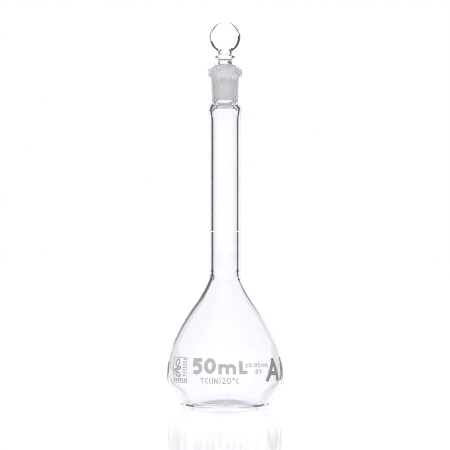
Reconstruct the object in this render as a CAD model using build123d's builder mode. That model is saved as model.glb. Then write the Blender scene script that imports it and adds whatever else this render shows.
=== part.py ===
"""A 50 mL volumetric flask with a size 9 penny-head ground stopper, in millimetres.

The flask is three glass pieces flame-sealed end to end: the blown bulb, the neck tube and the
ground socket. The stopper drops into the socket. The marks are fired enamel, a thin layer of
ink on the outer skin. The origin is where the flask's axis meets the bench, +Z is up, and the
print faces -Y.
"""

import os
from math import atan2, cos, degrees, pi, radians, sin

from build123d import *

# --- glass body -------------------------------------------------------------------------------
CAPACITY = 50_000.0  # cubic millimetres held up to the graduation line
BULB_WALL, NECK_WALL, BASE_WALL = 1.1, 1.4, 1.63  # at the equator, up the neck and underneath

# bulb, outer skin: tangent runs up and down from the equator; leans are degrees from upright
BULB_R = 23.9
EQUATOR_Z = 13.6
SHOULDER_R, SHOULDER_LEAN = 30.8, 25.4  # arc above the equator, and the lean it ends at
FLANK_LEAN = 36.6  # the flank leans further in, up to here
THROAT_R, THROAT_LEAN = 46.8, 22.8  # hollow arc above the flank, and the lean it ends at
SEAL_R = 6.3  # small hollow arc that stands the wall upright for the neck
BELLY_R, BELLY_LEAN = 14.66, 35.7  # arc below the equator, and the lean it ends at
HEEL_R = 1.8  # rounding from the belly to the foot
FOOT_INNER_R, FOOT_R = 15.8, 3.0  # inner edge of the flat foot ring, and the rounding inside it
KICK_R, KICK_LEAN = 4.0, 26.0  # rounding at the rim of the pushed-up middle, and its steepest slope
DOME_LEAN = 20.0  # slope at the edge of the domed middle

# neck tube
NECK_R = 6.3
NECK_FOOT_Z = 54.4  # where it is sealed to the bulb
FLARE_R, FLARE_LOW_Z, FLARE_HIGH_Z = 6.8, 115.0, 120.1  # swelling under the socket
SOCKET_BASE_Z = 122.4  # where the socket is sealed on

# ground joint, taper 1:10 on the diameter
JOINT_R = 4.5  # stopper's cone at the rim
JOINT_SLOPE = 0.05  # change in radius with height
JOINT_GAP = 0.05
JOINT_LENGTH = 14.1
RIM_Z = 137.5

# ground socket, outer skin
SOCKET_FOOT_R, SOCKET_TOP_R = 5.27, 5.58
COLLAR_R = 7.0
COLLAR_ROOT_Z, COLLAR_LOW_Z, COLLAR_HIGH_Z = 132.6, 133.9, 135.6
COLLAR_EDGE_R, COLLAR_EDGE_TURN = 1.0, 50.0
MOUTH_CHAMFER = 0.2

# stopper
TIP_Z, TIP_FLAT_R = 121.7, 2.2
SHANK_R = 2.9
SHOULDER_RISE = 0.5  # from the rim up to the foot of the shank
BEAD_Z, BEAD_R = 141.0, 1.2
NECKING_Z = 143.4  # where the shank runs into the head
HEAD_Z, HEAD_R, HEAD_THICKNESS, HEAD_EDGE_R = 149.1, 6.3, 4.0, 0.9

# --- enamel -----------------------------------------------------------------------------------
INK = 0.08  # thickness of the fired layer
LINE_HEIGHT = 0.4  # graduation line
STAMP_GAP, STAMP_DEPTH = 1.0, 4.0  # stamps start this far off the skin and go this deep
LAYER_UP, LAYER_DOWN = 20.0, 32.0  # reach of the ink layer above and below the equator, degrees

# letters as strokes in a box one unit tall: a stroke is a chain of lines and three-point arcs
BOWL_5 = ((0.05, 0.56), (0.63, 0.32), (0.0, 0.05))
HOOK_2 = ((0.02, 0.76), (0.30, 1.0), (0.52, 0.60))
STROKES = {
    "5": [[((0.58, 1.0), (0.08, 1.0)), ((0.08, 1.0), (0.05, 0.56)), BOWL_5]],
    "2": [[HOOK_2, ((0.52, 0.60), (0.0, 0.0)), ((0.0, 0.0), (0.58, 0.0))]],
    "1": [[((0.0, 0.76), (0.24, 1.0)), ((0.24, 1.0), (0.24, 0.0))]],
    "m": [
        [((0.0, 0.70), (0.0, 0.0))],
        [((0.0, 0.42), (0.36, 0.70), (0.72, 0.42)), ((0.72, 0.42), (0.72, 0.0))],
        [((0.72, 0.42), (1.08, 0.70), (1.44, 0.42)), ((1.44, 0.42), (1.44, 0.0))],
    ],
    "L": [[((0.0, 1.0), (0.0, 0.0)), ((0.0, 0.0), (0.5, 0.0))]],
    "T": [[((0.0, 1.0), (0.62, 1.0))], [((0.31, 1.0), (0.31, 0.0))]],
    "C": [[((0.56, 0.93), (0.0, 0.5), (0.56, 0.07))]],
    "(": [[((0.22, 1.12), (0.0, 0.5), (0.22, -0.12))]],
    ")": [[((0.0, 1.12), (0.22, 0.5), (0.0, -0.12))]],
    "I": [[((0.0, 1.0), (0.0, 0.0))]],
    "N": [[((0.0, 0.0), (0.0, 1.0)), ((0.0, 1.0), (0.58, 0.0)), ((0.58, 0.0), (0.58, 1.0))]],
    "A": [[((0.0, 0.0), (0.45, 1.0)), ((0.45, 1.0), (0.9, 0.0))], [((0.15, 0.32), (0.75, 0.32))]],
    "±": [[((0.0, 0.0), (0.5, 0.0))], [((0.0, 0.64), (0.5, 0.64))], [((0.25, 0.4), (0.25, 0.88))]],
    ".": [[((0.0, 0.0), (0.04, 0.0))]],
}
# round letters as rings: middle and half size of the stroke's oval
RINGS = {"0": ((0.36, 0.5), (0.36, 0.5)), "°": ((0.15, 0.85), (0.15, 0.15))}
SPACE = 0.25  # a blank, in units of height

# each mark is a list of (text, height, pen, gap between letters, angle round the bulb, foot height);
# the last I is a plain upright rule
MARKS = {
    "capacity_mark": [
        ("50", 6.2, 1.55, 0.8, -20.8, 14.0),
        ("m", 5.3, 1.35, 0.0, 2.2, 13.8),
        ("L", 5.35, 1.4, 0.0, 17.9, 13.8),
    ],
    "tolerance_mark": [("±0.05 mL", 1.7, 0.34, 0.36, 33.4, 16.45)],
    "batch_mark": [("01", 1.75, 0.4, 0.5, 33.9, 13.9)],
    "temperature_mark": [("TC(IN)20°C", 2.4, 0.36, 0.4, -5.5, 9.95)],
    "class_mark": [("A", 9.15, 1.7, 0.0, 54.2, 10.65), ("I", 9.2, 1.3, 0.0, 70.5, 10.9)],
}
# generic panel: a thin frame round two rings with a slanting band between them, a column of
# ticks and a row of bars
PANEL_ANGLE, PANEL_Z = -50.3, 15.2
PANEL_WIDTH, PANEL_HEIGHT, PANEL_LINE, PANEL_CORNER_R = 8.4, 10.2, 0.25, 0.8
PANEL_RING_LINE, PANEL_RING_SLANT = 0.8, -20.0
PANEL_RINGS = (((-1.2, 2.9), (1.5, 1.8)), ((-0.7, -1.7), (1.8, 1.2)))  # middle, half size
PANEL_BAND_SIZE, PANEL_BAND_AT, PANEL_BAND_SLANT = (4.9, 1.3), (-1.2, 0.4), 18.0
PANEL_TICKS, PANEL_TICK_SIZE, PANEL_TICK_PITCH, PANEL_TICKS_AT = 7, (1.5, 0.55), 1.05, (2.8, 1.2)
PANEL_BARS, PANEL_BAR_SIZE, PANEL_BAR_PITCH, PANEL_BARS_AT = 6, (0.7, 1.3), 1.25, (0, -3.9)


# --- outlines: radius along x, height along y -------------------------------------------------
def side_step(radius, lean_a, lean_b):
    """How far an arc moves sideways while it leans from one angle to another."""
    return radius * abs(cos(radians(lean_a)) - cos(radians(lean_b)))


def draw_upper(low_inset, high_inset):
    """Draw the wall from the equator up to the neck, inset from the outer skin at either end."""
    shoulder_r = SHOULDER_R - low_inset
    throat_r = THROAT_R + high_inset
    seal_r = SEAL_R + high_inset
    # the flank's arc takes up the width that the other three arcs leave
    flank_width = (
        (BULB_R - low_inset)
        - (NECK_R - high_inset)
        - side_step(shoulder_r, 0, SHOULDER_LEAN)
        - side_step(throat_r, FLANK_LEAN, THROAT_LEAN)
        - side_step(seal_r, THROAT_LEAN, 0)
    )
    flank_r = flank_width / side_step(1, SHOULDER_LEAN, FLANK_LEAN)
    arcs = (
        (shoulder_r, SHOULDER_LEAN),
        (flank_r, FLANK_LEAN - SHOULDER_LEAN),
        (throat_r, THROAT_LEAN - FLANK_LEAN),
        (seal_r, -THROAT_LEAN),
    )
    point = Vector(BULB_R - low_inset, EQUATOR_Z)
    heading = Vector(0, 1)
    for radius, turn in arcs:
        arc = JernArc(point, heading, radius, turn)
        point = arc @ 1
        heading = arc % 1
    return Line(point, (point.X, NECK_FOOT_Z)) @ 1


def draw_lower(side_inset, base_inset):
    """Draw the wall from the equator down round the heel and the foot and in to the axis."""
    belly = JernArc((BULB_R - side_inset, EQUATOR_Z), (0, -1), BELLY_R - side_inset, -BELLY_LEAN)
    # the straight run takes up the height that the arcs leave
    heel_r = HEEL_R - base_inset
    drop = (belly @ 1).Y - base_inset - heel_r * (1 - sin(radians(BELLY_LEAN)))
    run = Line(belly @ 1, belly @ 1 + drop / cos(radians(BELLY_LEAN)) * (belly % 1))
    heel = JernArc(run @ 1, run % 1, heel_r, BELLY_LEAN - 90)
    foot = Line(heel @ 1, (FOOT_INNER_R, base_inset))
    rounding = JernArc(foot @ 1, foot % 1, FOOT_R - base_inset, -KICK_LEAN)
    kick = JernArc(rounding @ 1, rounding % 1, KICK_R + base_inset, KICK_LEAN - DOME_LEAN)
    dome_r = (kick @ 1).X / sin(radians(DOME_LEAN))
    return JernArc(kick @ 1, kick % 1, dome_r, DOME_LEAN) @ 1


def draw_swelling(start, end):
    """Draw a gentle S from one upright run to another."""
    middle = (Vector(*start) + Vector(*end)) / 2
    lower = TangentArc(start, middle, tangent=(0, 1))
    TangentArc(lower @ 1, end, tangent=lower % 1)


def joint_radius(z):
    """Radius of the stopper's ground cone at a height."""
    return JOINT_R - JOINT_SLOPE * (RIM_Z - z)


# --- bulb -------------------------------------------------------------------------------------
with BuildPart() as bulb:
    with BuildSketch(Plane.XZ):
        with BuildLine():
            outer_top, outer_base = draw_upper(0, 0), draw_lower(0, 0)
            inner_top = draw_upper(BULB_WALL, NECK_WALL)
            inner_base = draw_lower(BULB_WALL, BASE_WALL)
            Line(outer_top, inner_top)
            Line(outer_base, inner_base)
        make_face()
    revolve(axis=Axis.Z)

# what the bulb holds, and so where the line goes on the neck
with BuildPart() as bulb_contents:
    with BuildSketch(Plane.XZ):
        with BuildLine():
            contents_top = draw_upper(BULB_WALL, NECK_WALL)
            contents_base = draw_lower(BULB_WALL, BASE_WALL)
            Polyline(contents_top, (0, contents_top.Y), contents_base)
        make_face()
    revolve(axis=Axis.Z)
BORE_R = NECK_R - NECK_WALL
LINE_Z = NECK_FOOT_Z + (CAPACITY - bulb_contents.part.volume) / (pi * BORE_R**2)
print(f"graduation line at {LINE_Z:.2f}")

# --- neck tube: swells just under the socket and folds in to meet it --------------------------
with BuildPart() as neck_tube:
    with BuildSketch(Plane.XZ):
        with BuildLine():
            Line((NECK_R, NECK_FOOT_Z), (NECK_R, FLARE_LOW_Z))
            draw_swelling((NECK_R, FLARE_LOW_Z), (FLARE_R, FLARE_HIGH_Z))
            TangentArc((FLARE_R, FLARE_HIGH_Z), (SOCKET_FOOT_R, SOCKET_BASE_Z), tangent=(0, 1))
            seal_r = joint_radius(SOCKET_BASE_Z) + JOINT_GAP
            Line((SOCKET_FOOT_R, SOCKET_BASE_Z), (seal_r, SOCKET_BASE_Z))
            Line((seal_r, SOCKET_BASE_Z), (seal_r, SOCKET_BASE_Z - NECK_WALL / 2))
            under_flare_z = FLARE_HIGH_Z - NECK_WALL / 2
            TangentArc(
                (FLARE_R - NECK_WALL, under_flare_z), (seal_r, SOCKET_BASE_Z - NECK_WALL / 2), tangent=(0, 1)
            )
            draw_swelling((BORE_R, FLARE_LOW_Z), (FLARE_R - NECK_WALL, under_flare_z))
            Line((BORE_R, FLARE_LOW_Z), (BORE_R, NECK_FOOT_Z))
            Line((BORE_R, NECK_FOOT_Z), (NECK_R, NECK_FOOT_Z))
        make_face()
    revolve(axis=Axis.Z)

# --- ground socket: tapered bore, rounded collar ----------------------------------------------
with BuildPart() as ground_socket:
    with BuildSketch(Plane.XZ):
        with BuildLine():
            Line((SOCKET_FOOT_R, SOCKET_BASE_Z), (SOCKET_TOP_R, COLLAR_ROOT_Z))
            TangentArc((COLLAR_R, COLLAR_LOW_Z), (SOCKET_TOP_R, COLLAR_ROOT_Z), tangent=(0, -1))
            Line((COLLAR_R, COLLAR_LOW_Z), (COLLAR_R, COLLAR_HIGH_Z))
            edge = JernArc((COLLAR_R, COLLAR_HIGH_Z), (0, 1), COLLAR_EDGE_R, COLLAR_EDGE_TURN)
            mouth_r = JOINT_R + JOINT_GAP + MOUTH_CHAMFER
            top = TangentArc(edge @ 1, (mouth_r, RIM_Z), tangent=edge % 1)
            bore_z = RIM_Z - MOUTH_CHAMFER
            Polyline(
                top @ 1,
                (joint_radius(bore_z) + JOINT_GAP, bore_z),
                (joint_radius(SOCKET_BASE_Z) + JOINT_GAP, SOCKET_BASE_Z),
                (SOCKET_FOOT_R, SOCKET_BASE_Z),
            )
        make_face()
    revolve(axis=Axis.Z)

# --- stopper: ground cone with a rounded tip, shank, bead and penny head ----------------------
with BuildPart() as stopper:
    with BuildSketch(Plane.XZ):
        with BuildLine():
            ground_z = RIM_Z - JOINT_LENGTH
            shoulder_z = RIM_Z + SHOULDER_RISE
            tip = Line((0, TIP_Z), (TIP_FLAT_R, TIP_Z))
            TangentArc(tip @ 1, (joint_radius(ground_z), ground_z), tangent=tip % 1)
            cone = Line((joint_radius(ground_z), ground_z), (JOINT_R, RIM_Z))
            shoulder_r = (JOINT_R + SHANK_R) / 2
            shoulder = TangentArc(cone @ 1, (shoulder_r, shoulder_z), tangent=cone % 1)
            foot = Line(shoulder @ 1, (SHANK_R, shoulder_z))
            bead_low = Line(foot @ 1, (SHANK_R, BEAD_Z - BEAD_R))
            bead = ThreePointArc(
                bead_low @ 1, (SHANK_R + BEAD_R, BEAD_Z), (SHANK_R, BEAD_Z + BEAD_R)
            )
            shank = Line(bead @ 1, (SHANK_R, NECKING_Z))
            crown = JernArc(shank @ 1, (0, 1), SHANK_R, 90)
            Line(crown @ 1, (0, TIP_Z))
        make_face()
    revolve(axis=Axis.Z)
    with BuildSketch(Plane.YZ) as penny:
        with Locations((0, HEAD_Z)):
            Rectangle(HEAD_THICKNESS, HEAD_R, align=(Align.CENTER, Align.MIN))
        fillet(penny.vertices().group_by(Axis.Y)[-1], HEAD_EDGE_R)
    revolve(axis=Axis((0, 0, HEAD_Z), (0, 1, 0)))

# --- enamel layer that every mark on the bulb is cut from -------------------------------------
with BuildPart() as ink_layer:
    with BuildSketch(Plane.XZ):
        with BuildLine():
            skins = (0, INK)
            ups = [JernArc((BULB_R + t, EQUATOR_Z), (0, 1), SHOULDER_R + t, LAYER_UP) for t in skins]
            downs = [JernArc((BULB_R + t, EQUATOR_Z), (0, -1), BELLY_R + t, -LAYER_DOWN) for t in skins]
            Line(ups[0] @ 1, ups[1] @ 1)
            Line(downs[0] @ 1, downs[1] @ 1)
        make_face()
    revolve(axis=Axis.Z)


def stamp_plane(angle, z):
    """Upright plane just off the bulb's skin, at an angle round from the front to the right."""
    outward = Vector(sin(radians(angle)), -cos(radians(angle)), 0)
    rightward = Vector(cos(radians(angle)), sin(radians(angle)), 0)
    return Plane(outward * (BULB_R + STAMP_GAP) + Vector(0, 0, z), x_dir=rightward, z_dir=outward)


def is_arc(stroke, number):
    """Whether a stroke has a segment of that number and it is an arc."""
    return 0 <= number < len(stroke) and len(stroke[number]) == 3


def draw_letter(character, scale_up, pen):
    """One letter as a face, its foot's left corner at the origin."""
    with BuildSketch() as letter:
        for stroke in STROKES.get(character, ()):
            for number, segment in enumerate(stroke):
                points = [Vector(*point) * scale_up for point in segment]
                with BuildLine(mode=Mode.PRIVATE) as path:
                    if is_arc(stroke, number):
                        ThreePointArc(*points)
                    else:
                        # square off the ends, except where the stroke bends on into an arc
                        along = (points[1] - points[0]).normalized() * pen / 2
                        start = points[0] if is_arc(stroke, number - 1) else points[0] - along
                        end = points[1] if is_arc(stroke, number + 1) else points[1] + along
                        Line(start, end)
                trace(path.line, pen)
                if is_arc(stroke, number) != is_arc(stroke, number - 1) and number > 0:
                    with Locations(points[0]):
                        Circle(pen / 2)
        if character in RINGS:
            middle, half = RINGS[character]
            with Locations(Vector(*middle) * scale_up):
                Ellipse(half[0] * scale_up + pen / 2, half[1] * scale_up + pen / 2)
                Ellipse(half[0] * scale_up - pen / 2, half[1] * scale_up - pen / 2, mode=Mode.SUBTRACT)
    return letter.sketch


def lay_out(runs):
    """Letters of a mark, each with its middle at x = 0, with its angle round the bulb and height."""
    placed = []
    for text, height, pen, gap, angle, foot_z in runs:
        spine = height - pen
        cursor = 0
        row = []
        for character in text:
            if character == " ":
                cursor += SPACE * height
                continue
            letter = draw_letter(character, spine, pen)
            box = letter.bounding_box()
            row.append((letter, box, cursor + box.size.X / 2))
            cursor += box.size.X + gap
        middle = (cursor - gap) / 2
        for letter, box, place in row:
            turned = angle + degrees((place - middle) / BULB_R)
            placed.append((Pos(-box.center().X, pen / 2) * letter, turned, foot_z))
    return placed


# --- lettering: each letter is stamped square to the skin where it sits -----------------------
pieces = {}
for name, runs in MARKS.items():
    letters = lay_out(runs)
    with BuildPart() as mark:
        for letter, angle, z in letters:
            with BuildSketch(stamp_plane(angle, z)):
                add(letter)
            stamp = extrude(amount=-STAMP_DEPTH, mode=Mode.PRIVATE)
            add(stamp & ink_layer.part)
    pieces[name] = mark

# --- generic panel beside the capacity --------------------------------------------------------
with BuildPart() as marking_panel:
    with BuildSketch(stamp_plane(PANEL_ANGLE, PANEL_Z)):
        RectangleRounded(PANEL_WIDTH, PANEL_HEIGHT, PANEL_CORNER_R)
        RectangleRounded(
            PANEL_WIDTH - 2 * PANEL_LINE,
            PANEL_HEIGHT - 2 * PANEL_LINE,
            PANEL_CORNER_R - PANEL_LINE,
            mode=Mode.SUBTRACT,
        )
        for middle, half in PANEL_RINGS:
            with Locations(middle):
                Ellipse(*half, rotation=PANEL_RING_SLANT)
                inside = (half[0] - PANEL_RING_LINE, half[1] - PANEL_RING_LINE)
                Ellipse(*inside, rotation=PANEL_RING_SLANT, mode=Mode.SUBTRACT)
        with Locations(PANEL_BAND_AT):
            Rectangle(*PANEL_BAND_SIZE, rotation=PANEL_BAND_SLANT)
        with Locations(PANEL_TICKS_AT):
            with GridLocations(0, PANEL_TICK_PITCH, 1, PANEL_TICKS):
                Rectangle(*PANEL_TICK_SIZE)
        with Locations(PANEL_BARS_AT):
            with GridLocations(PANEL_BAR_PITCH, 0, PANEL_BARS, 1):
                Rectangle(*PANEL_BAR_SIZE)
    extrude(amount=-STAMP_DEPTH)
    add(ink_layer.part, mode=Mode.INTERSECT)

# --- graduation line round the neck -----------------------------------------------------------
with BuildPart() as graduation_line:
    with BuildSketch(Plane.XY.offset(LINE_Z - LINE_HEIGHT / 2)):
        Circle(NECK_R + INK)
        Circle(NECK_R, mode=Mode.SUBTRACT)
    extrude(amount=LINE_HEIGHT)

# --- hand over --------------------------------------------------------------------------------
pieces["bulb"] = bulb
pieces["neck_tube"] = neck_tube
pieces["ground_socket"] = ground_socket
pieces["stopper"] = stopper
pieces["marking_panel"] = marking_panel
pieces["graduation_line"] = graduation_line

os.makedirs("parts", exist_ok=True)
for name, piece in pieces.items():
    piece.part.label = name
    export_step(piece.part, f"parts/{name}.step")
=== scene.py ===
"""Looks of the 50 mL volumetric flask: blown and ground glass, fired enamel and a white studio.

The flask's three glass pieces are one continuous skin here, as flame-sealed glass is, and the
stopper is one smooth pressed shape. Outlines are in millimetres, meshes in metres.
"""

from math import atan2, ceil, cos, degrees, hypot, pi, radians, sin

import bpy
import numpy as np
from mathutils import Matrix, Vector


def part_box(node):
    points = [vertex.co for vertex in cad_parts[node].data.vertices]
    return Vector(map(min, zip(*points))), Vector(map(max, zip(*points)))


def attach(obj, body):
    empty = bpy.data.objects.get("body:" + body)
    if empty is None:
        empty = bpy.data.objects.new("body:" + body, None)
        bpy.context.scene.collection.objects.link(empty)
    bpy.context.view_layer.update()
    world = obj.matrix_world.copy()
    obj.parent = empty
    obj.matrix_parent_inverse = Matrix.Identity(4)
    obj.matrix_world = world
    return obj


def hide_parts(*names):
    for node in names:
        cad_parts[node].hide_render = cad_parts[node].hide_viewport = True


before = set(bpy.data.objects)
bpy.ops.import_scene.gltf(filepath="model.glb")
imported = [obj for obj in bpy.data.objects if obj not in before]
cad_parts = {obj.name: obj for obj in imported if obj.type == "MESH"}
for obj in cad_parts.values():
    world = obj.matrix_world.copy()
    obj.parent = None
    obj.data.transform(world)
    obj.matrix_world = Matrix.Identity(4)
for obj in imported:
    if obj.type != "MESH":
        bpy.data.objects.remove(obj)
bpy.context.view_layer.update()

MM = 0.001


def heights(node):
    """Lowest and highest point of a CAD node, in millimetres."""
    low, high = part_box(node)
    return low.z / MM, high.z / MM


def radius_of(node):
    """Widest radius of a CAD node that is round about the axis, in millimetres."""
    low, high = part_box(node)
    return (high.x - low.x) / 2 / MM


# --- sizes, in millimetres and degrees ----------------------------------------------------------
AIR = 0.01  # the skin lies this far inside the CAD one, so that the enamel sits on it
SEGMENTS = 256  # round the flask
ARC_STEP = 2.5  # degrees between the points of an arc
NECK_RINGS, CONE_RINGS = 24, 4  # rings of faces along the neck and along a ground cone
BULB_WALL, NECK_WALL, BASE_WALL = 1.1, 1.4, 1.63  # at the equator, up the neck and underneath

BULB_R = radius_of("bulb")
EQUATOR_Z = 13.6
NECK_R = 6.3
NECK_FOOT_Z = heights("neck_tube")[0]
SHOULDER_R, SHOULDER_LEAN = 30.8, 25.4  # a lean is the wall's angle off the upright
FLANK_LEAN = 36.6
THROAT_R, THROAT_LEAN = 46.8, 22.8
SEAL_R = 6.3  # the bend where the bulb turns up into the neck
BELLY_R, BELLY_LEAN = 14.66, 35.7
HEEL_R = 1.8
FOOT_INNER_R, FOOT_R = 15.8, 3.0
KICK_R, KICK_LEAN, DOME_LEAN = 4.0, 26.0, 20.0

FLARE_R, FLARE_LOW_Z, FLARE_HIGH_Z = 6.8, 115.0, 120.1
SOCKET_BASE_Z, RIM_Z = heights("ground_socket")
SOCKET_FOOT_R, SOCKET_TOP_R = 5.27, 5.58
COLLAR_R = radius_of("ground_socket")
COLLAR_ROOT_Z, COLLAR_LOW_Z, COLLAR_HIGH_Z = 132.6, 133.9, 135.6
COLLAR_EDGE_R, COLLAR_EDGE_TURN = 1.0, 50.0
JOINT_R, JOINT_SLOPE = 4.5, 0.05  # the stopper's cone, measured at the rim
JOINT_GAP = 0.05  # between the cone and the bore
MOUTH_CHAMFER = 0.2
GROUND_Z = 123.5  # bore and cone are ground matt from here up to the rim

TIP_Z = heights("stopper")[0]
TIP_ROUNDING = 1.3
CONE_TOP_Z, CONE_TOP_ROUNDING = 138.0, 0.6
SHANK_R, SHANK_FILLET = 2.9, 0.5
SHANK_TOP_Z, SHANK_TOP_ROUNDING = 145.6, 3.0  # where it runs out inside the head
BEAD_Z, BEAD_R, BEAD_FILLET = 141.0, 1.2, 0.35
HEAD_R = 6.3
HEAD_Z = heights("stopper")[1] - HEAD_R
HEAD_THICKNESS, HEAD_EDGE_R, HEAD_FILLET = 4.0, 1.7, 1.0
HEAD_DOME = 0.25  # how much thinner the head is at its rim than in the middle
VOXEL = 0.16  # grain of the stopper's mesh
FITTING_ROUNDS = 5  # how often the stopper's mesh is drawn onto its melted shape


def joint_radius(z):
    """Radius of the stopper's ground cone at a height."""
    return JOINT_R - JOINT_SLOPE * (RIM_Z - z)


# --- outlines -----------------------------------------------------------------------------------
class Pen:
    """Draws a run of tangent arcs and straight lines as (radius, height) points."""

    def __init__(self, radius, height, heading):
        self.points = [(radius, height)]
        self.heading = heading

    def arc(self, radius, turn):
        """Turn left, or right for a negative turn, along an arc."""
        side = 1 if turn > 0 else -1
        r, z = self.points[-1]
        start = radians(self.heading)
        middle = (r - side * radius * sin(start), z + side * radius * cos(start))
        steps = max(1, ceil(abs(turn) / ARC_STEP))
        for step in range(1, steps + 1):
            angle = radians(self.heading + turn * step / steps)
            self.points.append(
                (middle[0] + side * radius * sin(angle), middle[1] - side * radius * cos(angle))
            )
        self.heading += turn
        return self

    def bend_to(self, radius, height):
        """Follow the one arc that leaves along the heading and reaches a point."""
        r, z = self.points[-1]
        away = degrees(atan2(height - z, radius - r)) - self.heading
        away = (away + 180) % 360 - 180
        reach = hypot(radius - r, height - z)
        return self.arc(reach / 2 / sin(radians(abs(away))), 2 * away)

    def run(self, length, pieces=1):
        """Go straight on."""
        r, z = self.points[-1]
        for step in range(1, pieces + 1):
            along = length * step / pieces
            self.points.append(
                (r + along * cos(radians(self.heading)), z + along * sin(radians(self.heading)))
            )
        return self

    def line_to(self, radius, height, pieces=1):
        """Go straight to a point and take up that heading."""
        r, z = self.points[-1]
        self.heading = degrees(atan2(height - z, radius - r))
        return self.run(hypot(radius - r, height - z), pieces)


def side_step(radius, lean_a, lean_b):
    """How far an arc moves sideways while it leans from one angle to another."""
    return radius * abs(cos(radians(lean_a)) - cos(radians(lean_b)))


def upper_wall(low_inset, high_inset):
    """The bulb's wall from the equator up to the neck, inset from the outer skin at either end."""
    shoulder_r = SHOULDER_R - low_inset
    throat_r = THROAT_R + high_inset
    seal_r = SEAL_R + high_inset
    flank_width = (
        (BULB_R - low_inset)
        - (NECK_R - high_inset)
        - side_step(shoulder_r, 0, SHOULDER_LEAN)
        - side_step(throat_r, FLANK_LEAN, THROAT_LEAN)
        - side_step(seal_r, THROAT_LEAN, 0)
    )
    flank_r = flank_width / side_step(1, SHOULDER_LEAN, FLANK_LEAN)
    pen = Pen(BULB_R - low_inset, EQUATOR_Z, 90)
    pen.arc(shoulder_r, SHOULDER_LEAN)
    pen.arc(flank_r, FLANK_LEAN - SHOULDER_LEAN)
    pen.arc(throat_r, THROAT_LEAN - FLANK_LEAN)
    pen.arc(seal_r, -THROAT_LEAN)
    return pen


def lower_wall(side_inset, base_inset):
    """The bulb's wall from the equator down round the heel and the foot and in to the axis."""
    pen = Pen(BULB_R - side_inset, EQUATOR_Z, -90)
    pen.arc(BELLY_R - side_inset, -BELLY_LEAN)
    heel_r = HEEL_R - base_inset
    drop = pen.points[-1][1] - base_inset - heel_r * (1 - sin(radians(BELLY_LEAN)))
    pen.run(drop / cos(radians(BELLY_LEAN)))
    pen.arc(heel_r, BELLY_LEAN - 90)
    pen.run(pen.points[-1][0] - FOOT_INNER_R)
    pen.arc(FOOT_R - base_inset, -KICK_LEAN)
    pen.arc(KICK_R + base_inset, KICK_LEAN - DOME_LEAN)
    pen.arc(pen.points[-1][0] / sin(radians(DOME_LEAN)), DOME_LEAN)
    return pen


def flask_outline():
    """The whole glass skin: under the base, up the outside, over the mouth and down the inside."""
    base = lower_wall(AIR, AIR).points
    outside = upper_wall(AIR, AIR)
    outside.line_to(NECK_R - AIR, FLARE_LOW_Z, NECK_RINGS)
    middle = (FLARE_LOW_Z + FLARE_HIGH_Z) / 2
    outside.bend_to((NECK_R + FLARE_R) / 2 - AIR, middle)
    outside.bend_to(FLARE_R - AIR, FLARE_HIGH_Z)
    outside.bend_to(SOCKET_FOOT_R, SOCKET_BASE_Z)
    outside.line_to(SOCKET_TOP_R - AIR, COLLAR_ROOT_Z, CONE_RINGS)
    collar = Pen(COLLAR_R - AIR, COLLAR_LOW_Z, -90).bend_to(SOCKET_TOP_R - AIR, COLLAR_ROOT_Z)
    mouth = Pen(COLLAR_R - AIR, COLLAR_HIGH_Z, 90).arc(COLLAR_EDGE_R, COLLAR_EDGE_TURN)
    bore_z = RIM_Z - MOUTH_CHAMFER
    mouth.bend_to(joint_radius(RIM_Z) + JOINT_GAP + MOUTH_CHAMFER, RIM_Z - AIR)
    mouth.line_to(joint_radius(bore_z) + JOINT_GAP, bore_z)
    mouth.line_to(joint_radius(GROUND_Z) + JOINT_GAP, GROUND_Z, CONE_RINGS)
    seal_z = SOCKET_BASE_Z - NECK_WALL / 2
    mouth.line_to(joint_radius(SOCKET_BASE_Z) + JOINT_GAP, seal_z)
    under_flare_z = FLARE_HIGH_Z - NECK_WALL / 2
    flare = Pen(FLARE_R - NECK_WALL, under_flare_z, 90)
    flare.bend_to(joint_radius(SOCKET_BASE_Z) + JOINT_GAP, seal_z)
    inside = Pen(NECK_R - NECK_WALL, FLARE_LOW_Z, 90)
    inside.bend_to((NECK_R + FLARE_R) / 2 - NECK_WALL, middle)
    inside.bend_to(FLARE_R - NECK_WALL, under_flare_z)
    neck = Pen(NECK_R - NECK_WALL, FLARE_LOW_Z, -90)
    neck.line_to(NECK_R - NECK_WALL, NECK_FOOT_Z, NECK_RINGS)
    runs = (
        base[::-1],
        outside.points,
        collar.points[::-1],
        mouth.points,
        flare.points[::-1],
        inside.points[::-1],
        neck.points,
        upper_wall(BULB_WALL, NECK_WALL).points[::-1],
        lower_wall(BULB_WALL, BASE_WALL).points,
    )
    outline = []
    for run in runs:
        for point in run:
            if not outline or hypot(point[0] - outline[-1][0], point[1] - outline[-1][1]) > AIR:
                outline.append(point)
    return outline


# --- meshes -------------------------------------------------------------------------------------
def new_piece(name, vertices, faces, materials):
    """A smooth-shaded mesh object, its vertices given in millimetres."""
    mesh = bpy.data.meshes.new(name)
    mesh.from_pydata(np.asarray(vertices) * MM, [], faces)
    mesh.shade_smooth()
    for material in materials:
        mesh.materials.append(material)
    piece = bpy.data.objects.new(name, mesh)
    bpy.context.scene.collection.objects.link(piece)
    return piece


def lathe(name, outline, materials):
    """Spin an outline that begins and ends on the axis."""
    vertices = [(0, 0, outline[0][1])]
    for radius, height in outline[1:-1]:
        for k in range(SEGMENTS):
            turn = 2 * pi * k / SEGMENTS
            vertices.append((radius * cos(turn), radius * sin(turn), height))
    vertices.append((0, 0, outline[-1][1]))
    last = len(vertices) - 1
    faces = []
    for k in range(SEGMENTS):
        following = (k + 1) % SEGMENTS
        faces.append((0, 1 + following, 1 + k))
        for ring in range(len(outline) - 3):
            low = 1 + ring * SEGMENTS
            high = low + SEGMENTS
            faces.append((low + k, low + following, high + following, high + k))
        faces.append((last - SEGMENTS + k, last - SEGMENTS + following, last))
    return new_piece(name, vertices, faces, materials)


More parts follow.
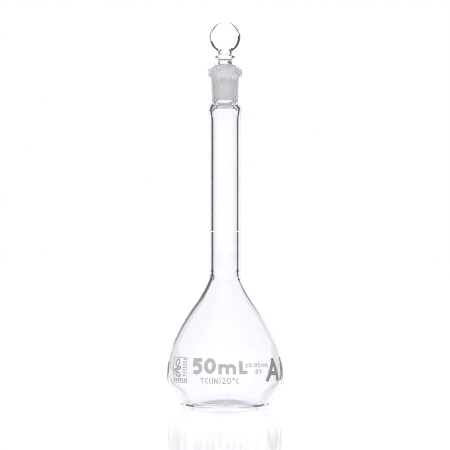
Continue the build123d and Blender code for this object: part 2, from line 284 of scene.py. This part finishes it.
def blend_min(a, b, reach):
    """The nearer of two distances, with a fillet where they are alike."""
    share = np.clip(0.5 + 0.5 * (b - a) / reach, 0, 1)
    return b + (a - b) * share - reach * share * (1 - share)


def blend_max(a, b, reach):
    """The farther of two distances, with a rounding where they are alike."""
    return -blend_min(-a, -b, reach)


def stopper_distance(points):
    """Signed distance from points to the stopper's skin, its parts melted together."""
    x, y, z = points.T
    about = np.hypot(x, y)
    cone = about - (JOINT_R - AIR - JOINT_SLOPE * (RIM_Z - z))
    cone = blend_max(cone, TIP_Z - z, TIP_ROUNDING)
    cone = blend_max(cone, z - CONE_TOP_Z, CONE_TOP_ROUNDING)
    shank = blend_max(about - SHANK_R, z - SHANK_TOP_Z, SHANK_TOP_ROUNDING)
    shank = blend_max(shank, RIM_Z - z, SHANK_FILLET)
    bead = np.hypot(about - SHANK_R, z - BEAD_Z) - BEAD_R
    out = np.hypot(x, z - HEAD_Z)
    half = HEAD_THICKNESS / 2 - HEAD_DOME * (out / HEAD_R) ** 2
    over_rim = out - (HEAD_R - HEAD_EDGE_R)
    over_face = np.abs(y) - (half - HEAD_EDGE_R)
    head = np.hypot(np.maximum(over_rim, 0), np.maximum(over_face, 0)) - HEAD_EDGE_R
    head += np.minimum(np.maximum(over_rim, over_face), 0)
    stem = blend_min(cone, shank, SHANK_FILLET)
    stem = blend_min(stem, bead, BEAD_FILLET)
    return blend_min(stem, head, HEAD_FILLET)


def skin_normals(points):
    """Outward directions, from how the distance changes."""
    step = 0.01
    slopes = [
        stopper_distance(points + step * axis) - stopper_distance(points - step * axis)
        for axis in np.eye(3)
    ]
    normals = np.stack(slopes, axis=1)
    return normals / np.linalg.norm(normals, axis=1, keepdims=True)


def melted_stopper(name, rough_shape, materials):
    """An even mesh of the CAD stopper, drawn onto the melted shape."""
    source = bpy.data.objects.new(name + "_source", rough_shape.data.copy())
    bpy.context.scene.collection.objects.link(source)
    remesh = source.modifiers.new("even", "REMESH")
    remesh.mode = "VOXEL"
    remesh.voxel_size = VOXEL * MM
    evened = source.evaluated_get(bpy.context.evaluated_depsgraph_get()).to_mesh()
    points = np.array([v.co for v in evened.vertices]) / MM
    faces = [tuple(f.vertices) for f in evened.polygons]
    bpy.data.objects.remove(source)
    for _ in range(FITTING_ROUNDS):
        points -= stopper_distance(points)[:, None] * skin_normals(points)
    return new_piece(name, points, faces, materials)


# --- materials ----------------------------------------------------------------------------------
# sizes of grain and depths of relief are in millimetres
GLASS_IOR = 1.474  # borosilicate

CLEAR_SHADES = (0.955, 0.951, 0.981), (0.966, 0.962, 0.987)
CLEAR_MOTTLE_GRAIN, CLEAR_WAVE_GRAIN, CLEAR_WAVE_DEPTH = 6.0, 9.0, 0.004

GROUND_SHADES = (0.988, 0.985, 0.994), (0.998, 0.997, 1.0)
GROUND_ROUGHNESS = 0.4
GROUND_CLEARNESS = 0.4  # the share of the light that goes through, the rest is scattered back
GROUND_MOTTLE_GRAIN, GRIT_GRAIN, GRIT_DEPTH = 0.8, 0.25, 0.004

GLASS_LEVELS = 0.3, 0.7  # of the noise, where the first shade ends and the second begins

PRINT_SHADE, DARK_SHADE, LINE_SHADE = (0.35, 0.345, 0.36), (0.2, 0.19, 0.175), (0.76, 0.76, 0.78)
ENAMEL_ROUGHNESS = 0.5
ENAMEL_PALER = 1.25  # how much lighter an enamel is where it is thin
ENAMEL_LEVELS = 0.35, 0.68
ENAMEL_MOTTLE_GRAIN, SCREEN_GRAIN, SCREEN_DEPTH = 0.35, 0.12, 0.003


def new_material(name, **sockets):
    """A material with one Principled shader, its sockets set by name with _ for a blank."""
    material = bpy.data.materials.new(name)
    material.use_nodes = True
    shader = material.node_tree.nodes["Principled BSDF"]
    for socket, value in sockets.items():
        shader.inputs[socket.replace("_", " ")].default_value = value
    return material


def add_noise(material, grain_size, detail=2.0):
    """Noise laid over the object, its grains a length in millimetres across."""
    nodes, links = material.node_tree.nodes, material.node_tree.links
    place = nodes.new("ShaderNodeTexCoord")
    grain = nodes.new("ShaderNodeTexNoise")
    grain.inputs["Scale"].default_value = 1 / (grain_size * MM)
    grain.inputs["Detail"].default_value = detail
    links.new(place.outputs["Object"], grain.inputs["Vector"])
    return grain


def add_relief(material, grain, depth):
    """Let noise raise and dent the surface by a depth in millimetres."""
    nodes, links = material.node_tree.nodes, material.node_tree.links
    relief = nodes.new("ShaderNodeBump")
    relief.inputs["Distance"].default_value = depth * MM
    links.new(grain.outputs["Fac"], relief.inputs["Height"])
    links.new(relief.outputs["Normal"], nodes["Principled BSDF"].inputs["Normal"])


def add_mottle(material, grain, levels, shades):
    """Blend the base colour from one shade to another between two levels of the noise."""
    nodes, links = material.node_tree.nodes, material.node_tree.links
    ramp = nodes.new("ShaderNodeValToRGB")
    for stop, level, shade in zip(ramp.color_ramp.elements, levels, shades):
        stop.position = level
        stop.color = (*shade, 1)
    links.new(grain.outputs["Fac"], ramp.inputs["Fac"])
    links.new(ramp.outputs["Color"], nodes["Principled BSDF"].inputs["Base Color"])


def clear_material():
    """Borosilicate glass: faintly lilac, with the long shallow waves of blown glass."""
    material = new_material("clear_glass", Roughness=0.0, IOR=GLASS_IOR, Transmission_Weight=1.0)
    add_mottle(material, add_noise(material, CLEAR_MOTTLE_GRAIN), GLASS_LEVELS, CLEAR_SHADES)
    add_relief(material, add_noise(material, CLEAR_WAVE_GRAIN, detail=0.0), CLEAR_WAVE_DEPTH)
    return material


def ground_material():
    """Glass ground matt: it scatters light both ways, and its grit shows."""
    material = new_material(
        "ground_glass",
        Roughness=GROUND_ROUGHNESS,
        IOR=GLASS_IOR,
        Transmission_Weight=GROUND_CLEARNESS,
    )
    add_mottle(material, add_noise(material, GROUND_MOTTLE_GRAIN), GLASS_LEVELS, GROUND_SHADES)
    add_relief(material, add_noise(material, GRIT_GRAIN), GRIT_DEPTH)
    return material


def enamel_material(name, shade):
    """Fired ink: a little uneven in tone, with a screen's fine grain."""
    material = new_material(name, Roughness=ENAMEL_ROUGHNESS)
    paler = tuple(ENAMEL_PALER * part for part in shade)
    mottle = add_noise(material, ENAMEL_MOTTLE_GRAIN, detail=4.0)
    add_mottle(material, mottle, ENAMEL_LEVELS, (shade, paler))
    add_relief(material, add_noise(material, SCREEN_GRAIN), SCREEN_DEPTH)
    return material


clear_glass = clear_material()
ground_glass = ground_material()
print_enamel = enamel_material("print_enamel", PRINT_SHADE)
dark_enamel = enamel_material("dark_enamel", DARK_SHADE)
line_enamel = enamel_material("line_enamel", LINE_SHADE)

# --- flask --------------------------------------------------------------------------------------
flask = lathe("flask_glass", flask_outline(), [clear_glass, ground_glass])
for face in flask.data.polygons:
    middle = face.center / MM
    if middle.z > GROUND_Z and hypot(middle.x, middle.y) < JOINT_R + 2 * JOINT_GAP:
        face.material_index = 1
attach(flask, "flask")
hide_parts("bulb", "neck_tube", "ground_socket")

# --- stopper ------------------------------------------------------------------------------------
stopper = melted_stopper("stopper_glass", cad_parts["stopper"], [clear_glass, ground_glass])
for face in stopper.data.polygons:
    if GROUND_Z < face.center.z / MM < RIM_Z:
        face.material_index = 1
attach(stopper, "stopper")
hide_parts("stopper")

# --- enamel -------------------------------------------------------------------------------------
ENAMELS = {
    "graduation_line": line_enamel,
    "capacity_mark": print_enamel,
    "tolerance_mark": print_enamel,
    "batch_mark": print_enamel,
    "temperature_mark": print_enamel,
    "marking_panel": print_enamel,
    "class_mark": dark_enamel,
}
for node, enamel in ENAMELS.items():
    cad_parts[node].material_slots[0].material = enamel


# --- studio, in metres --------------------------------------------------------------------------
FLOOR_HALF = 6.0
FLOOR_SHADE, FLOOR_GLOW = (0.98, 0.98, 1.0), 1.37
FLOOR_MIRROR, FLOOR_BLUR = 0.55, 0.08  # the share of mirror image in the floor and its roughness
FRONT_LIGHT = 1.7  # how much brighter the room is behind the camera than behind the flask
FRONT_FROM, FRONT_TO = -0.2, -0.8  # directions towards the camera where that light fades in

# black flags behind the flask, which show only through its glass and draw its dark edges
BLACK = (0.012, 0.008, 0.02)
FLAG_AWAY, SWEEP_STEPS = 1.0, 12
FOOT_TOP, SIDE_TOP, UPPER_TOP = 0.036, 0.32, 0.9
FLAGS = {  # degrees right of the view, from and to, then heights, from and to
    "foot_left": (-78, -23, 0.0, FOOT_TOP),
    "foot_right": (24, 64, 0.0, FOOT_TOP),
    "side_left": (-78, -31, FOOT_TOP, SIDE_TOP),
    "side_right": (35, 64, FOOT_TOP, SIDE_TOP),
    "inner_left": (-31, -14, 0.16, SIDE_TOP),
    "upper_left": (-50, -14, SIDE_TOP, UPPER_TOP),
    "upper_right": (15, 50, SIDE_TOP, UPPER_TOP),
    "upper_middle": (-15, 15, 0.55, 1.2),
}
STRIP_START, STRIP_RISE = 0.04, 0.0005  # how near the axis floor strips begin, and their height
STRIP_NEAR_FADE, STRIP_FAR_FADE = (0.04, 0.12), (0.12, 0.3)  # between these they turn black


def emitter(name, colour, strength=1.0):
    """A material that only glows."""
    material = bpy.data.materials.new(name)
    material.use_nodes = True
    nodes, links = material.node_tree.nodes, material.node_tree.links
    nodes.clear()
    glow = nodes.new("ShaderNodeEmission")
    glow.inputs["Color"].default_value = (*colour, 1)
    glow.inputs["Strength"].default_value = strength
    output = nodes.new("ShaderNodeOutputMaterial")
    links.new(glow.outputs["Emission"], output.inputs["Surface"])
    return material


def floor_material():
    """White acrylic lit to the paper's white, with a faint mirror image in it."""
    material = emitter("studio_floor", FLOOR_SHADE, FLOOR_GLOW)
    nodes, links = material.node_tree.nodes, material.node_tree.links
    mirror = nodes.new("ShaderNodeBsdfGlossy")
    mirror.inputs["Roughness"].default_value = FLOOR_BLUR
    mix = nodes.new("ShaderNodeMixShader")
    mix.inputs["Fac"].default_value = FLOOR_MIRROR
    links.new(nodes["Emission"].outputs["Emission"], mix.inputs[1])
    links.new(mirror.outputs["BSDF"], mix.inputs[2])
    links.new(mix.outputs["Shader"], nodes["Material Output"].inputs["Surface"])
    return material


def stage_sheet(name, rows, material, seen=False):
    """A sheet of the studio from rows of corners; an unseen one shows only through glass."""
    vertices = [corner for row in rows for corner in row]
    across = len(rows[0])
    faces = []
    for j in range(len(rows) - 1):
        for i in range(across - 1):
            low = j * across + i
            faces.append((low, low + 1, low + across + 1, low + across))
    mesh = bpy.data.meshes.new(name)
    mesh.from_pydata(vertices, [], faces)
    mesh.materials.append(material)
    sheet = bpy.data.objects.new(name, mesh)
    bpy.context.scene.collection.objects.link(sheet)
    sheet.visible_camera = seen
    sheet.visible_glossy = seen


def sweep(name, angles, ends, material):
    """A curved sheet between two angles off the view and two (distance, height) ends."""
    rows = []
    for distance, height in ends:
        row = []
        for step in range(SWEEP_STEPS + 1):
            turn = radians(angles[0] + (angles[1] - angles[0]) * step / SWEEP_STEPS)
            row.append((distance * sin(turn), distance * cos(turn), height))
        rows.append(row)
    stage_sheet(name, rows, material)


def fading(name, reach):
    """A glow that falls from white to black between two distances from the flask."""
    material = emitter(name, BLACK)
    nodes, links = material.node_tree.nodes, material.node_tree.links
    place = nodes.new("ShaderNodeTexCoord")
    away = nodes.new("ShaderNodeVectorMath")
    away.operation = "LENGTH"
    fall = nodes.new("ShaderNodeMapRange")
    fall.interpolation_type = "SMOOTHSTEP"
    fall.inputs["From Min"].default_value = reach[0]
    fall.inputs["From Max"].default_value = reach[1]
    blend = nodes.new("ShaderNodeMix")
    blend.data_type = "RGBA"
    blend.inputs["A"].default_value = (1, 1, 1, 1)
    blend.inputs["B"].default_value = (*BLACK, 1)
    links.new(place.outputs["Object"], away.inputs[0])
    links.new(away.outputs["Value"], fall.inputs["Value"])
    links.new(fall.outputs["Result"], blend.inputs["Factor"])
    links.new(blend.outputs["Result"], nodes["Emission"].inputs["Color"])
    return material


def studio_light():
    """White light from all round, stronger from behind the camera."""
    world = bpy.data.worlds.new("studio_light")
    world.use_nodes = True
    nodes, links = world.node_tree.nodes, world.node_tree.links
    direction = nodes.new("ShaderNodeTexCoord")
    parts = nodes.new("ShaderNodeSeparateXYZ")
    front = nodes.new("ShaderNodeMapRange")
    front.inputs["From Min"].default_value = FRONT_FROM
    front.inputs["From Max"].default_value = FRONT_TO
    front.inputs["To Min"].default_value = 1.0
    front.inputs["To Max"].default_value = FRONT_LIGHT
    links.new(direction.outputs["Generated"], parts.inputs[0])
    links.new(parts.outputs["Y"], front.inputs["Value"])
    links.new(front.outputs["Result"], nodes["Background"].inputs["Strength"])
    nodes["Background"].inputs["Color"].default_value = (1, 1, 1, 1)
    return world


floor_rows = [[(x, y, 0) for x in (-FLOOR_HALF, FLOOR_HALF)] for y in (-FLOOR_HALF, FLOOR_HALF)]
stage_sheet("studio_floor", floor_rows, floor_material(), seen=True)

black = emitter("flag_black", BLACK)
for name, (left, right, low, high) in FLAGS.items():
    sweep("flag_" + name, (left, right), ((FLAG_AWAY, low), (FLAG_AWAY, high)), black)

near_black = fading("flag_floor_near", STRIP_NEAR_FADE)
far_black = fading("flag_floor_far", STRIP_FAR_FADE)
FLOOR_STRIPS = (  # degrees to either side, out of the way of the eight main views
    (22, 35, near_black),
    (57, 78, far_black),
    (102, 123, far_black),
    (147, 168, far_black),
)
for side in (-1, 1):
    for inner, outer, shade in FLOOR_STRIPS:
        angles = sorted((side * inner, side * outer))
        ends = ((STRIP_START, STRIP_RISE), (FLAG_AWAY, STRIP_RISE))
        sweep(f"flag_floor_{angles[0]}", angles, ends, shade)

bpy.context.scene.world = studio_light()

# --- camera: level, square to the print ---------------------------------------------------------
CAMERA_Z, CAMERA_AWAY, FRAME_WIDTH = 0.0732, 1.318, 0.18225  # the width is that at the flask
camera_data = bpy.data.cameras.new("camera")
camera_data.lens = camera_data.sensor_width * CAMERA_AWAY / FRAME_WIDTH
camera_data.clip_end = 20.0
camera = bpy.data.objects.new("camera", camera_data)
camera.location = (0, -CAMERA_AWAY, CAMERA_Z)
camera.rotation_euler = (pi / 2, 0, 0)
bpy.context.scene.collection.objects.link(camera)
bpy.context.scene.camera = camera

scene = bpy.context.scene
scene.view_settings.view_transform = "Standard"
scene.cycles.filter_width = 1.0
scene.cycles.max_bounces = 64
scene.cycles.transmission_bounces = 48
scene.cycles.glossy_bounces = 48
scene.cycles.diffuse_bounces = 32
